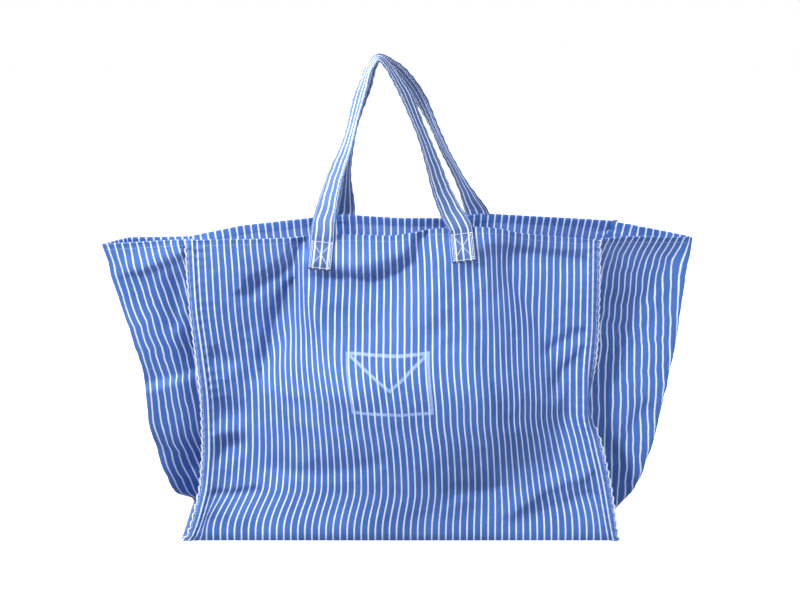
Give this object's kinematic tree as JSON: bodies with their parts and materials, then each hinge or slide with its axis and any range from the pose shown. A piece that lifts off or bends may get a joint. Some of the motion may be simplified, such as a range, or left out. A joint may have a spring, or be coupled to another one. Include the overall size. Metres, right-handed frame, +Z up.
{
  "type": "shopper bag",
  "caption": "Large open shopper bag of fine striped cotton, with a flat base, flaring side gussets, outward seams and hinged fabric straps.",
  "frame": {"origin": "middle of the base, on the floor", "axes": "+X to the right along the front panel seen from the front, +Y from the front panel to the back panel, +Z up"},
  "size_m": [0.845, 0.2834, 0.6741],
  "materials": {
    "striped_cotton": "matte",
    "white_thread": "matte"
  },
  "bodies": {
    "bag": {"front_panel": "striped_cotton", "back_panel": "striped_cotton", "base_panel": "striped_cotton", "left_gusset": "striped_cotton", "right_gusset": "striped_cotton", "front_rim_hem": "striped_cotton", "right_rim_hem": "striped_cotton", "back_rim_hem": "striped_cotton", "left_rim_hem": "striped_cotton", "rim_stitching": "white_thread", "left_base_seam": "striped_cotton", "right_base_seam": "striped_cotton", "front_left_seam": "striped_cotton", "front_right_seam": "striped_cotton", "back_left_seam": "striped_cotton", "back_right_seam": "striped_cotton", "seam_stitching": "white_thread", "front_left_foot": "striped_cotton", "front_right_foot": "striped_cotton", "back_left_foot": "striped_cotton", "back_right_foot": "striped_cotton", "front_feet_stitching": "white_thread", "back_feet_stitching": "white_thread"},
    "front_strap": {"front_handle": "striped_cotton"},
    "back_strap": {"back_handle": "striped_cotton"}
  },
  "joints": [
    {"name": "front_strap_swing", "type": "hinge", "parent": "bag", "child": "front_strap", "pos_m": [-0.0105, -0.0665, 0.425], "axis": [1, 0, 0], "range_deg": [0, 165]},
    {"name": "back_strap_swing", "type": "hinge", "parent": "bag", "child": "back_strap", "pos_m": [0.0155, 0.0705, 0.425], "axis": [-1, 0, 0], "range_deg": [0, 165]}
  ]
}
